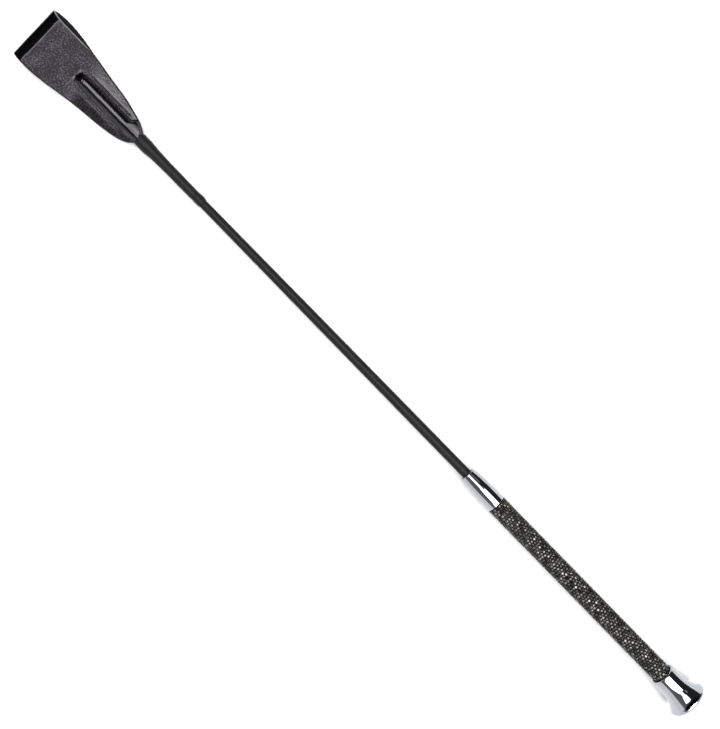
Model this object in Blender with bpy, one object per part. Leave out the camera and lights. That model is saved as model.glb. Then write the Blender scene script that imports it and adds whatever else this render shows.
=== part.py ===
"""Riding crop: folded leather flap, braided tapered shaft, ferrule, stone-covered grip and flared end cap.

Metres, +Z up. The crop lies on a flat surface (z = 0) on the flat of its flap and on the rim of its end cap.
+X runs from the flap to the cap. Dimensions below are in millimetres; "s" is the distance from the fold of the
flap, measured along the crop.
"""
import math

import bmesh
import bpy
from mathutils import Vector

MM = 0.001

# ---------------------------------------------------------------- driving dimensions (mm)
LENGTH = 650.0            # fold of the flap to the end of the cap
GAP = 0.3                 # clearance between neighbouring pieces
HALF_GAP = GAP / 2

HINGE_S = 39.0            # line across the strap where the flap flexes
HINGE_Z = 5.0             # height of that line, and of the strap's middle plane, above the surface
LEATHER = 1.8             # thickness of the strap
SKIVED = 0.75             # thickness of its tails under the binding

CAP_RIM_S = 647.6         # station of the cap's widest circle
CAP_RIM_R = 12.85         # centre circle of the rounded rim
CAP_RIM_ROUND = 1.5       # rounding of the rim
CAP_R = CAP_RIM_R + CAP_RIM_ROUND

TIP_S = 46.1              # the rod's rounded tip, between the leaves
NECK_S = 104.5            # the flap's neck, where the binding starts
TAIL_END_S = 112.9        # the strap's tails end under the binding
BINDING_END_S = 160.9
RING_S = (161.2, 168.7)
COVER_S = (50.4, 441.0)
CORE_S = (48.2, 610.0)
FERRULE_S = (430.0, 458.8)
GRIP_S = (459.1, 624.5)
GRIP_R = 7.16
CAP_MOUTH_S = 622.3

COVER_RADII = [(50.4, 2.5), (160.0, 2.6), (168.9, 2.66), (169.9, 2.87), (210.0, 2.96), (260.0, 3.09),
               (320.0, 3.2), (380.0, 3.34), (430.0, 3.39), (441.0, 3.39)]
CORE_RADII = [(48.2, 1.6), (160.0, 1.7), (172.0, 1.95), (430.0, 2.48), (610.0, 2.55)]
COVER_WALL = 0.6
SLEEVE_R = 2.5            # radius of the covered rod inside the flap
POCKET_R = 2.85           # radius of the channel that the leaves form round it

# outline of the strap: (s, half width on -Y, half width on +Y)
UPPER_LEAF = [(0.0, 21.1, 19.8), (5.0, 21.45, 19.2), (9.0, 21.5, 18.6), (14.5, 21.5, 18.4), (21.5, 21.2, 18.4),
              (30.0, 20.2, 18.4), (35.5, 19.4, 18.4), (41.0, 18.6, 18.2)]
LOWER_LEAF = [(0.0, 21.1, 19.8), (5.0, 20.6, 21.0), (9.0, 19.8, 21.4), (14.5, 19.2, 21.5), (21.5, 19.0, 21.1),
              (30.0, 18.8, 20.1), (35.5, 18.7, 19.2), (41.0, 18.6, 18.2)]
ROOT_LEAF = [(41.0, 18.6, 18.2), (49.0, 17.2, 17.0), (57.5, 16.0, 15.6), (66.0, 15.1, 14.4), (76.5, 14.0, 12.9),
             (82.5, 13.1, 11.8), (88.0, 12.1, 10.4), (93.5, 10.7, 9.0), (99.0, 8.4, 7.2), (102.0, 6.7, 5.5),
             (103.8, 4.9, 4.3), (105.0, 3.75, 3.75), (113.0, 3.75, 3.75)]

# outline of the open loop from the side: (s, height above the middle plane), outer surface
LOOP_TOP = [(0.0, 0.0), (0.35, 1.45), (1.2, 2.6), (2.6, 3.45), (5.0, 4.15), (9.0, 4.75), (14.0, 5.0), (20.0, 4.9),
            (26.0, 4.25), (31.0, 3.35), (35.0, 2.5), (37.0, 2.12), (39.0, 1.95)]
LOOP_BOTTOM = [(0.0, 0.0), (0.35, -1.45), (1.2, -2.7), (2.6, -3.7), (5.0, -4.6), (9.0, -5.0), (14.0, -5.0),
               (20.0, -5.0), (26.0, -4.4), (31.0, -3.4), (35.0, -2.5), (37.0, -2.12), (39.0, -1.95)]
LOOP_INNER_END_S = 36.9   # the leaves part from here towards the fold

SEAM_Y = 7.2              # rows of the U-shaped seam, each side of the rod
SEAM_TURN_S = 43.9        # the bottom of the U
SEAM_END_S = 91.0
THREAD_R = 0.35

TILT = math.asin((CAP_R - HINGE_Z) / (CAP_RIM_S - HINGE_S))   # the shaft rises towards the wider cap
SPAN = HINGE_S + (LENGTH - HINGE_S) * math.cos(TILT)           # overall length along X
FOLD_X = -SPAN / 2                                             # the fold's X, so the origin is in the middle


# ---------------------------------------------------------------- helpers
def clear_scene():
    for o in list(bpy.data.objects):
        bpy.data.objects.remove(o, do_unlink=True)


def material(name, colour, roughness, metallic=0.0):
    m = bpy.data.materials.new(name)
    m.use_nodes = True
    b = m.node_tree.nodes["Principled BSDF"]
    b.inputs["Base Color"].default_value = (*colour, 1.0)
    b.inputs["Roughness"].default_value = roughness
    b.inputs["Metallic"].default_value = metallic
    m.diffuse_color = (*colour, 1.0)
    return m


def empty(name, location, rotation=(0.0, 0.0, 0.0), parent=None):
    e = bpy.data.objects.new(name, None)
    e.empty_display_size = 0.01
    e.location = location
    e.rotation_euler = rotation
    e.parent = parent
    bpy.context.scene.collection.objects.link(e)
    return e


def add(name, mesh, mat, parent=None, location=(0.0, 0.0, 0.0), angle=35.0):
    mesh.materials.append(mat)
    mesh.shade_smooth()
    mesh.set_sharp_from_angle(angle=math.radians(angle))
    o = bpy.data.objects.new(name, mesh)
    o.parent = parent
    o.location = location
    bpy.context.scene.collection.objects.link(o)
    return o


def table(rows, s, column=1):
    """Smooth interpolation of a dimension table (monotone slopes, so it never overshoots)."""
    if s <= rows[0][0]:
        return rows[0][column]
    if s >= rows[-1][0]:
        return rows[-1][column]
    for i in range(len(rows) - 1):
        if rows[i][0] <= s <= rows[i + 1][0]:
            break

    def secant(k):
        return (rows[k + 1][column] - rows[k][column]) / (rows[k + 1][0] - rows[k][0])

    def slope(k):
        if k == 0:
            return secant(0)
        if k == len(rows) - 1:
            return secant(k - 1)
        a, b = secant(k - 1), secant(k)
        return 0.0 if a * b <= 0 else 2 * a * b / (a + b)

    h = rows[i + 1][0] - rows[i][0]
    u = (s - rows[i][0]) / h
    a, b = rows[i][column], rows[i + 1][column]
    return ((2 * u**3 - 3 * u**2 + 1) * a + (u**3 - 2 * u**2 + u) * h * slope(i)
            + (-2 * u**3 + 3 * u**2) * b + (u**3 - u**2) * h * slope(i + 1))


def turned(name, profile, steps, closed=True):
    """A solid of revolution about the shaft's axis. profile holds (s, radius); closed means a ring section."""
    bm = bmesh.new()
    verts = [bm.verts.new(((s - HINGE_S) * MM, 0.0, r * MM)) for s, r in profile]
    count = len(verts) if closed else len(verts) - 1
    edges = [bm.edges.new((verts[i], verts[(i + 1) % len(verts)])) for i in range(count)]
    bmesh.ops.spin(bm, geom=verts + edges, cent=(0, 0, 0), axis=(1, 0, 0), dvec=(0, 0, 0),
                   angle=2 * math.pi, steps=steps, use_merge=True, use_duplicate=False)
    bmesh.ops.remove_doubles(bm, verts=bm.verts, dist=0.000001)
    bmesh.ops.recalc_face_normals(bm, faces=bm.faces)
    mesh = bpy.data.meshes.new(name)
    bm.to_mesh(mesh)
    bm.free()
    return mesh


def tube(name, s0, s1, inner, outer, steps, chamfer=0.0):
    c = chamfer
    ring = [(s0, inner), (s0, outer - c), (s0 + c, outer), (s1 - c, outer), (s1, outer - c), (s1, inner)]
    if not c:
        ring = [(s0, inner), (s0, outer), (s1, outer), (s1, inner)]
    return turned(name, ring, steps)


def from_grid(name, faces_of, points):
    """A mesh from named points and a list of faces that names them."""
    bm = bmesh.new()
    verts = {key: bm.verts.new(p) for key, p in points.items()}
    for face in faces_of:
        bm.faces.new([verts[k] for k in face])
    bmesh.ops.recalc_face_normals(bm, faces=bm.faces)
    mesh = bpy.data.meshes.new(name)
    bm.to_mesh(mesh)
    bm.free()
    return mesh


# ---------------------------------------------------------------- the strap
def leather_at(s):
    u = min(max((s - 90.0) / (103.8 - 90.0), 0.0), 1.0)
    return LEATHER + (SKIVED - LEATHER) * u * u * (3 - 2 * u)


def pocket_at(s):
    """Radius of the channel round the rod: a rounded end, then a straight channel."""
    centre = TIP_S + SLEEVE_R
    if s >= centre:
        return POCKET_R
    d = centre - s
    return math.sqrt(max(POCKET_R**2 - d * d, 0.0))


def leaf(name, side):
    """One leaf of the strap behind the flex line: flat at its edges, arched over the rod, skived at its tail."""
    stations = [HINGE_S + LEATHER + HALF_GAP + GAP, 43.4, 45.4, 46.0, 46.7, 47.6, 48.8, 53.0, 60.0, 68.0, 76.0, 84.0,
                90.0, 94.0, 97.5, 100.5, 102.4, 103.8, 105.0, TAIL_END_S]
    arc = [math.radians(a) for a in (0, 22, 44, 64, 80)]
    last = len(stations) - 1
    points, columns = {}, 0
    for i, s in enumerate(stations):
        t, pocket = leather_at(s), pocket_at(s)
        crown = pocket + t
        rows = []
        for hand in (-1, 1):
            w = table(ROOT_LEAF, s, 1 if hand < 0 else 2)
            foot_in = POCKET_R
            foot_out = math.sqrt(max((POCKET_R + t) ** 2 - (t + HALF_GAP) ** 2, 0.01))
            half = []
            for a in arc:
                y_in, y_out = foot_in * math.sin(a), foot_out * math.sin(a) / math.sin(arc[-1]) * 0.97
                half.append((y_in, max(math.sqrt(max(pocket**2 - y_in**2, 0.0)), HALF_GAP),
                             y_out, max(math.sqrt(max(crown**2 - y_out**2, 0.0)), t + HALF_GAP)))
            for f in (0.0, 0.5, 1.0):
                y_in = foot_in + (w - foot_in) * f
                y_out = foot_out + (w - foot_out) * f
                half.append((y_in, HALF_GAP, y_out, t + HALF_GAP))
            rows.append([(hand * a, b, hand * c, d) for a, b, c, d in half])
        line = rows[0][::-1] + rows[1][1:]
        columns = len(line)
        for j, (yi, zi, yo, zo) in enumerate(line):
            points["i", i, j] = ((s - HINGE_S) * MM, yi * MM, side * zi * MM)
            points["o", i, j] = ((s - HINGE_S) * MM, yo * MM, side * zo * MM)
    faces = []
    for i in range(last):
        for j in range(columns - 1):
            faces.append([("o", i, j), ("o", i + 1, j), ("o", i + 1, j + 1), ("o", i, j + 1)])
            faces.append([("i", i, j), ("i", i, j + 1), ("i", i + 1, j + 1), ("i", i + 1, j)])
        for j in (0, columns - 1):
            faces.append([("o", i, j), ("i", i, j), ("i", i + 1, j), ("o", i + 1, j)])
    for i in (0, last):
        for j in range(columns - 1):
            faces.append([("o", i, j), ("o", i, j + 1), ("i", i, j + 1), ("i", i, j)])
    return from_grid(name, faces, points)


def loop(name):
    """The free end of the strap: a ring-shaped section, open from side to side, with a round nose at the flex line."""
    def inward(rows, k):
        a, b = rows[max(k - 1, 0)], rows[min(k + 1, len(rows) - 1)]
        if k == 0:
            return Vector((1.0, 0.0))
        d = Vector((b[0] - a[0], b[1] - a[1])).normalized()
        n = Vector((d.y, -d.x))
        return n if n.y * rows[k][1] < 0 else -n

    def inner(rows, k):
        n = inward(rows, k)
        s, z = rows[k][0] + n.x * LEATHER, rows[k][1] + n.y * LEATHER
        sign = 1 if rows[k][1] > 0 else -1
        return min(s, LOOP_INNER_END_S - 0.6), sign * max(sign * z, HALF_GAP)

    def width(s, upper, hand):
        a = table(UPPER_LEAF, s, 1 if hand < 0 else 2)
        b = table(LOWER_LEAF, s, 1 if hand < 0 else 2)
        return hand * (upper * a + (1 - upper) * b)

    top = LOOP_TOP[1:-2]
    bottom = LOOP_BOTTOM[1:-2]
    nose_r = LEATHER + HALF_GAP
    nose = [(HINGE_S + nose_r * math.sin(math.radians(a)), nose_r * math.cos(math.radians(a)))
            for a in range(0, 181, 30)]
    outer = [("t", k) for k in range(len(top))] + [("n", k) for k in range(len(nose))]
    outer += [("b", k) for k in reversed(range(len(bottom)))] + [("f", 0)]
    place = {}
    for k in range(len(top)):
        upper = min(max(0.5 + top[k][1] / 6.8, 0.0), 1.0)
        place["o", "t", k] = (*top[k], upper)
        place["i", "t", k] = (*inner(LOOP_TOP, k + 1), upper)
    for k in range(len(bottom)):
        upper = min(max(0.5 + bottom[k][1] / 7.2, 0.0), 1.0)
        place["o", "b", k] = (*bottom[k], upper)
        place["i", "b", k] = (*inner(LOOP_BOTTOM, k + 1), upper)
    for k, (s, z) in enumerate(nose):
        place["o", "n", k] = (s, z, 0.5 + 0.5 * z / nose_r)
    place["o", "f", 0] = (0.0, 0.0, 0.5)
    place["i", "f", 0] = (LEATHER, 0.0, 0.5)
    place["i", "e", 0] = (LOOP_INNER_END_S, 0.0, 0.5)
    points = {}
    for key, (s, z, upper) in place.items():
        for hand in (-1, 1):
            points[(*key, hand)] = ((s - HINGE_S) * MM, width(s, upper, hand) * MM, z * MM)
    faces = []
    ring = [("i", "f", 0)] + [("i", "t", k) for k in range(len(top))] + [("i", "e", 0)]
    ring += [("i", "b", k) for k in reversed(range(len(bottom)))]
    out = [("o", "f", 0)] + [("o", *k) for k in outer[:-1]]
    for band in (ring, out):
        for k in range(len(band)):
            a, b = band[k], band[(k + 1) % len(band)]
            faces.append([(*a, -1), (*b, -1), (*b, 1), (*a, 1)])
    for hand in (-1, 1):
        for letter, rows in (("t", top), ("b", bottom)):
            line = [("f", 0)] + [(letter, k) for k in range(len(rows))]
            for a, b in zip(line, line[1:]):
                faces.append([("o", *a, hand), ("o", *b, hand), ("i", *b, hand), ("i", *a, hand)])
        end = ("i", "e", 0, hand)
        last_t, last_b = len(top) - 1, len(bottom) - 1
        fan = [("o", "t", last_t)] + [("o", "n", k) for k in range(len(nose))] + [("o", "b", last_b)]
        faces.append([("i", "t", last_t, hand), ("o", "t", last_t, hand), end])
        for a, b in zip(fan, fan[1:]):
            faces.append([(*a, hand), (*b, hand), end])
        faces.append([("o", "b", last_b, hand), ("i", "b", last_b, hand), end])
    return from_grid(name, faces, points)


def seam(name, side):
    """The U of thread that closes the leaves round the rod's tip."""
    height = LEATHER + HALF_GAP + GAP + THREAD_R
    turn = 6.2                                         # length of the U's rounded bottom
    path = []
    rows = [SEAM_END_S - k * (SEAM_END_S - SEAM_TURN_S - turn) / 7 for k in range(8)]
    for s in rows:
        path.append((s, -SEAM_Y))
    for k in range(1, 12):
        a = math.pi * k / 12
        path.append((SEAM_TURN_S + turn - turn * math.sin(a), -SEAM_Y * math.cos(a)))
    for s in reversed(rows):
        path.append((s, SEAM_Y))
    curve = bpy.data.curves.new(name, "CURVE")
    curve.dimensions = "3D"
    curve.bevel_depth = THREAD_R * MM
    curve.bevel_resolution = 1
    curve.use_fill_caps = True
    line = curve.splines.new("POLY")
    line.points.add(len(path) - 1)
    for p, (s, y) in zip(line.points, path):
        p.co = ((s - HINGE_S) * MM, y * MM, side * height * MM, 1.0)
    return curve


# ---------------------------------------------------------------- build
def main():
    clear_scene()
    hinge = (FOLD_X + HINGE_S) * MM, 0.0, HINGE_Z * MM
    axis = empty("crop_axis", hinge, (0.0, -TILT, 0.0))
    flex = empty("flap_flex_axis", hinge)

    leather = material("black_leather", (0.022, 0.021, 0.021), 0.42)
    thread = material("black_thread", (0.012, 0.012, 0.013), 0.7)
    braid = material("black_braid", (0.028, 0.028, 0.03), 0.5)
    rod = material("glass_fibre_rod", (0.55, 0.53, 0.45), 0.45)
    rubber = material("black_rubber", (0.02, 0.02, 0.02), 0.7)
    chrome = material("polished_chrome", (0.85, 0.86, 0.88), 0.05, 1.0)
    steel = material("steel_tube", (0.5, 0.5, 0.51), 0.35, 1.0)
    plastic = material("black_plastic", (0.03, 0.03, 0.032), 0.45)
    backing = material("black_fabric_backing", (0.015, 0.014, 0.014), 0.85)
    stones = material("dark_faceted_stones", (0.05, 0.045, 0.045), 0.12)

    # flap
    add("flap_loop", loop("flap_loop"), leather, flex)
    add("flap_upper_leaf", leaf("flap_upper_leaf", 1), leather, axis)
    add("flap_lower_leaf", leaf("flap_lower_leaf", -1), leather, axis)
    for name, side in (("seam_top_thread", 1), ("seam_bobbin_thread", -1)):
        curve = seam(name, side)
        curve.materials.append(thread)
        o = bpy.data.objects.new(name, curve)
        o.parent = axis
        bpy.context.scene.collection.objects.link(o)

    # rod and what covers it
    core = [(CORE_S[0], 0.0)] + CORE_RADII + [(CORE_S[1], 0.0)]
    add("rod_core", turned("rod_core", core, 16, closed=False), rod, axis)
    tip_end = COVER_S[0] - GAP
    tip = [(TIP_S, 0.0)]
    for k in range(1, 5):
        a = math.radians(90 * k / 4)
        tip.append((TIP_S + SLEEVE_R * (1 - math.cos(a)), SLEEVE_R * math.sin(a)))
    tip += [(tip_end, SLEEVE_R), (tip_end, CORE_RADII[0][1] + GAP), (CORE_S[0] - GAP, CORE_RADII[0][1] + GAP),
            (CORE_S[0] - GAP, 0.0)]
    add("rod_tip_cap", turned("rod_tip_cap", tip, 20, closed=False), rubber, axis)
    bore = [(s, r + GAP) for s, r in ((COVER_S[0], CORE_RADII[0][1]), *CORE_RADII[1:4])]
    bore += [(COVER_S[1], CORE_RADII[3][1] + GAP + 0.02)]
    add("shaft_cover", turned("shaft_cover", COVER_RADII + bore[::-1], 20), braid, axis)

    # binding at the flap's neck
    tail_r = 4.16                                      # clears the strap's tails
    inner_r = 2.9
    binding = [(105.2, tail_r), (105.2, 4.42), (105.6, 4.53), (113.7, 4.53), (115.6, 4.36), (117.6, 4.12),
               (119.7, 3.94), (122.5, 3.82), (128.0, 3.63), (136.0, 3.46), (149.0, 3.43), (156.0, 3.34),
               (BINDING_END_S, 3.32), (BINDING_END_S, inner_r), (116.3, inner_r), (113.3, tail_r)]
    add("neck_binding", turned("neck_binding", binding, 24), thread, axis)
    r0, r1 = RING_S
    ring = [(r0, 3.0), (r0, 3.3), (r0 + 1.2, 3.52), (r0 + 2.8, 3.6), (r0 + 4.6, 3.6), (r0 + 6.2, 3.46),
            (r1, 3.2), (r1, 3.0)]
    add("binding_end_ring", turned("binding_end_ring", ring, 24), thread, axis)

    # ferrule and its bush
    f0, f1 = FERRULE_S
    ferrule = [(f0, 4.6), (f0, 5.3), (f0 + 0.35, 5.65), (f0 + 1.0, 5.75), (f0 + 3.5, 5.9), (f0 + 6.7, 6.08),
               (f0 + 10.8, 6.4), (f0 + 13.6, 6.75), (f0 + 16.3, 7.0), (f0 + 18.8, 7.12), (f1, 7.12), (f1, 5.5),
               (f0 + 14.0, 5.5), (f0 + 14.0, 4.95), (f0 + 2.0, 4.95), (f0 + 1.5, 4.35)]
    add("ferrule", turned("ferrule", ferrule, 32), chrome, axis)
    add("ferrule_bush", tube("ferrule_bush", f0 + 2.3, f0 + 13.2, 3.7, 4.65, 24), plastic, axis)

    # handle
    add("handle_tube", tube("handle_tube", f0 + 14.5, 632.0, 4.3, 5.2, 24), steel, axis)
    add("front_spacer", tube("front_spacer", 446.5, 456.5, 2.85, 4.0, 20), plastic, axis)
    add("rear_spacer", tube("rear_spacer", 598.0, 608.0, 2.85, 4.0, 20), plastic, axis)
    add("grip_backing", tube("grip_backing", GRIP_S[0], 623.0, 5.5, 5.9, 28), backing, axis)
    g0, g1 = GRIP_S
    sleeve = [(g0, 6.2), (g0, 6.85), (g0 + 0.4, GRIP_R), (g1 - 1.8, GRIP_R), (g1 - 0.5, 6.85), (g1, 6.5), (g1, 6.2)]
    add("grip_stone_sleeve", turned("grip_stone_sleeve", sleeve, 32), stones, axis)

    # end cap
    m = CAP_MOUTH_S
    cap = [(641.0, 0.0), (641.0, 6.6), (625.8, 6.6), (625.2, 7.7), (m, 7.7), (m, 8.72), (m + 0.3, 9.0), (632.5, 9.02),
           (636.0, 9.34), (638.0, 9.69), (639.4, 10.03), (640.8, 10.59), (642.2, 11.28), (643.6, 12.03),
           (644.9, 12.84)]
    for k in range(8):
        a = math.radians(-42 + k * 132 / 7)
        cap.append((CAP_RIM_S + CAP_RIM_ROUND * math.sin(a), CAP_RIM_R + CAP_RIM_ROUND * math.cos(a)))
    for r in (10.5, 7.0, 3.5):
        cap.append((LENGTH - 0.9 * (r / CAP_RIM_R) ** 2, r))
    cap.append((LENGTH, 0.0))
    add("end_cap", turned("end_cap", cap, 40, closed=False), chrome, axis)
    bush = [(632.3, 0.0), (632.3, 5.5), (626.3, 5.5), (626.3, 6.3), (640.6, 6.3), (640.6, 0.0)]
    add("cap_bush", turned("cap_bush", bush, 24, closed=False), plastic, axis)


main()
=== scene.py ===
"""The looks of the riding crop: leather flap, braid, binding, polished metal and faceted stones round the CAD frame."""

import math

import bpy
import numpy as np
from mathutils import Matrix, Vector


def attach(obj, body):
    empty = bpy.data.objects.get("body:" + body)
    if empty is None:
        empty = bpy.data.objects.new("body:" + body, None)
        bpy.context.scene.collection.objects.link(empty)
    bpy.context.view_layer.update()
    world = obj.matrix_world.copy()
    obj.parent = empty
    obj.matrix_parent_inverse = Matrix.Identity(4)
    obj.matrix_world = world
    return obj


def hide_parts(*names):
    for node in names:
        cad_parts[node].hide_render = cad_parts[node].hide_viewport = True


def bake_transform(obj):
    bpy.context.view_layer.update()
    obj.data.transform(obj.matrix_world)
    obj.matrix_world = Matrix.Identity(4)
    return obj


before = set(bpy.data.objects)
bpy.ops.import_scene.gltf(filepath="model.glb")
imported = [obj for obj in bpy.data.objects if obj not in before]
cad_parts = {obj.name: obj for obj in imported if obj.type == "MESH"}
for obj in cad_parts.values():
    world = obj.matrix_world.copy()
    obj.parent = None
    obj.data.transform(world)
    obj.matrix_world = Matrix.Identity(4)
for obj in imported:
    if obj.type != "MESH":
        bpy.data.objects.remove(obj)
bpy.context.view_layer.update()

# ---------------------------------------------------------------- dimensions (mm), as in the CAD
MM = 0.001
LENGTH = 650.0
HINGE_S, HINGE_Z = 39.0, 5.0
LEATHER, SKIVED, HALF_GAP = 1.8, 0.75, 0.15
CAP_R, CAP_RIM_S = 14.35, 647.6
HEAD_R, HEAD_END = CAP_R - 0.015, LENGTH - 0.07
TIP_S, SLEEVE_R, POCKET_R = 46.1, 2.5, 2.85
TAIL_END_S = 112.9
SEAM_LEFT, SEAM_RIGHT, SEAM_TURN_S, SEAM_TURN, SEAM_END_S = 6.35, 6.9, 44.3, 6.2, 91.0
TILT = math.asin((CAP_R - HINGE_Z) / (CAP_RIM_S - HINGE_S))
FOLD_X = -(HINGE_S + (LENGTH - HINGE_S) * math.cos(TILT)) / 2
HINGE = np.array([(FOLD_X + HINGE_S) * MM, 0.0, HINGE_Z * MM])
ALONG = np.array([math.cos(TILT), 0.0, math.sin(TILT)])
UP = np.array([-math.sin(TILT), 0.0, math.cos(TILT)])
RNG = np.random.default_rng(20240611)

COVER_RADII = [(50.4, 2.5), (160.0, 2.6), (168.9, 2.66), (169.9, 2.87), (210.0, 2.96), (260.0, 3.09),
               (320.0, 3.2), (380.0, 3.34), (430.0, 3.39), (441.0, 3.39)]
UPPER_LEAF = [(0.0, 21.15, 19.9), (5.0, 21.6, 18.9), (9.0, 21.75, 18.35), (14.5, 21.75, 18.15), (21.5, 21.45, 18.15),
              (30.0, 20.5, 18.2), (35.5, 19.7, 18.3), (41.0, 18.7, 18.35)]
LOWER_LEAF = [(0.0, 21.15, 19.9), (1.5, 21.0, 20.9), (5.0, 20.6, 21.3), (9.0, 19.8, 21.6), (14.5, 19.2, 21.6),
              (21.5, 19.0, 21.2), (30.0, 18.8, 20.2), (35.5, 18.7, 19.4), (41.0, 18.7, 18.35)]
ROOT_LEAF = [(41.0, 18.7, 18.35), (49.0, 17.25, 17.15), (57.5, 16.1, 15.75), (66.0, 15.2, 14.55), (76.5, 14.15, 13.1),
             (82.5, 13.25, 12.0), (88.0, 12.3, 10.6), (93.5, 11.0, 9.3), (99.0, 8.9, 7.6), (102.3, 7.0, 5.8),
             (104.4, 5.0, 4.4), (105.8, 3.75, 3.75), (113.0, 3.75, 3.75)]
LOOP_TOP = [(0.0, 0.0), (0.35, 1.35), (1.2, 2.35), (2.6, 3.0), (5.0, 3.65), (8.0, 4.33), (11.0, 4.85), (14.0, 5.0), (20.0, 4.9),
            (26.0, 4.25), (31.0, 3.35), (35.0, 2.5), (37.0, 2.12), (39.0, 1.95)]
LOOP_BOTTOM = [(0.0, 0.0), (0.35, -1.45), (1.2, -2.7), (2.6, -3.7), (5.0, -4.6), (9.0, -5.0), (14.0, -5.0),
               (20.0, -5.0), (26.0, -4.4), (31.0, -3.4), (35.0, -2.5), (37.0, -2.12), (39.0, -1.95)]


# ---------------------------------------------------------------- numbers
def pchip(rows, x, column=1):
    """Smooth monotone interpolation of a dimension table, for arrays."""
    xs = np.array([r[0] for r in rows], float)
    ys = np.array([r[column] for r in rows], float)
    h, d = np.diff(xs), np.diff(ys) / np.diff(xs)
    m = np.zeros(len(xs))
    m[0], m[-1] = d[0], d[-1]
    for k in range(1, len(xs) - 1):
        m[k] = 0.0 if d[k - 1] * d[k] <= 0 else 2 * d[k - 1] * d[k] / (d[k - 1] + d[k])
    x = np.clip(np.asarray(x, float), xs[0], xs[-1])
    i = np.clip(np.searchsorted(xs, x, side="right") - 1, 0, len(h) - 1)
    u = (x - xs[i]) / h[i]
    return ((2 * u**3 - 3 * u**2 + 1) * ys[i] + (u**3 - 2 * u**2 + u) * h[i] * m[i]
            + (-2 * u**3 + 3 * u**2) * ys[i + 1] + (u**3 - u**2) * h[i] * m[i + 1])


def spline(points, step):
    """A natural cubic spline through 2D points, sampled at an even step along its length."""
    p = np.array(points, float)
    u = np.concatenate([[0.0], np.cumsum(np.linalg.norm(np.diff(p, axis=0), axis=1))])
    n, h = len(u), np.diff(u)
    a, r = np.zeros((n, n)), np.zeros((n, 2))
    a[0, 0] = a[-1, -1] = 1.0
    for k in range(1, n - 1):
        a[k, k - 1], a[k, k], a[k, k + 1] = h[k - 1], 2 * (h[k - 1] + h[k]), h[k]
        r[k] = 6 * ((p[k + 1] - p[k]) / h[k] - (p[k] - p[k - 1]) / h[k - 1])
    m = np.linalg.solve(a, r)

    def at(x):
        i = np.clip(np.searchsorted(u, x, side="right") - 1, 0, n - 2)
        d0, d1, hh = (x - u[i])[:, None], (u[i + 1] - x)[:, None], h[i][:, None]
        return (m[i] * d1**3 + m[i + 1] * d0**3) / (6 * hh) + (p[i] / hh - m[i] * hh / 6) * d1 + (
            p[i + 1] / hh - m[i + 1] * hh / 6) * d0

    x = np.linspace(0, u[-1], 4000)
    fine = at(x)
    length = np.concatenate([[0.0], np.cumsum(np.linalg.norm(np.diff(fine, axis=0), axis=1))])
    want = np.linspace(0, length[-1], int(round(length[-1] / step)) + 1)
    return np.stack([np.interp(want, length, fine[:, k]) for k in (0, 1)], 1), want


def smooth(x, a, b):
    t = np.clip((np.asarray(x, float) - a) / (b - a), 0, 1)
    return t * t * (3 - 2 * t)


def smax(a, b, k):
    h = np.maximum(k - np.abs(a - b), 0) / k
    return np.maximum(a, b) + h * h * k / 4


def ripple(x, y, scale, seed, octaves=3):
    """A smooth wandering field, about -1 to 1, from a fixed set of waves."""
    rng = np.random.default_rng(seed)
    total, amp, norm = 0.0, 1.0, 0.0
    for _ in range(octaves):
        for _ in range(5):
            a, f, p = rng.uniform(0, 2 * math.pi), rng.uniform(0.7, 1.4) / scale, rng.uniform(0, 2 * math.pi)
            total = total + amp * np.sin(2 * math.pi * f * (x * math.cos(a) + y * math.sin(a)) + p)
            norm += amp * 0.55
        amp *= 0.5
        scale *= 0.5
    return total / norm


def place(s, y, z, flat=None):
    """Crop coordinates (mm from the fold, across, above the axis) to the row frame in metres."""
    s, y, z = np.broadcast_arrays(np.asarray(s, float), np.asarray(y, float), np.asarray(z, float))
    d = (s - HINGE_S)[..., None] * MM
    tilted = d * ALONG + z[..., None] * MM * UP
    if flat is not None:
        level = d * np.array([1.0, 0, 0]) + z[..., None] * MM * np.array([0, 0, 1.0])
        w = np.asarray(flat, float)[..., None]
        tilted = tilted * (1 - w) + level * w
    return HINGE + tilted + y[..., None] * MM * np.array([0, 1.0, 0])


# ---------------------------------------------------------------- meshes
def make(name, verts, quads, materials, body="crop", uv=None, index=None, sharp=None, flat=False, tris=None):
    mesh = bpy.data.meshes.new(name)
    faces = [np.asarray(quads, np.int64).reshape(-1, 4)] if len(quads) else []
    loops = [f.ravel() for f in faces]
    counts = [np.full(len(f), 4) for f in faces]
    if tris is not None and len(tris):
        t = np.asarray(tris, np.int64).reshape(-1, 3)
        loops.append(t.ravel())
        counts.append(np.full(len(t), 3))
    loops, counts = np.concatenate(loops), np.concatenate(counts)
    mesh.vertices.add(len(verts))
    mesh.vertices.foreach_set("co", np.asarray(verts, np.float32).ravel())
    mesh.loops.add(len(loops))
    mesh.loops.foreach_set("vertex_index", loops.astype(np.int32))
    mesh.polygons.add(len(counts))
    mesh.polygons.foreach_set("loop_start", np.concatenate([[0], np.cumsum(counts)[:-1]]).astype(np.int32))
    mesh.update(calc_edges=True)
    mesh.validate()
    for m in materials:
        mesh.materials.append(m)
    if index is not None:
        mesh.polygons.foreach_set("material_index", np.asarray(index, np.int32))
    if uv is not None:
        layer = mesh.uv_layers.new(name="Flat")
        layer.data.foreach_set("uv", np.asarray(uv, np.float32)[loops].ravel())
    if flat:
        mesh.shade_flat()
    else:
        mesh.shade_smooth()
        if sharp:
            mesh.set_sharp_from_angle(angle=math.radians(sharp))
    o = bpy.data.objects.new(name, mesh)
    bpy.context.scene.collection.objects.link(o)
    return o


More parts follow.
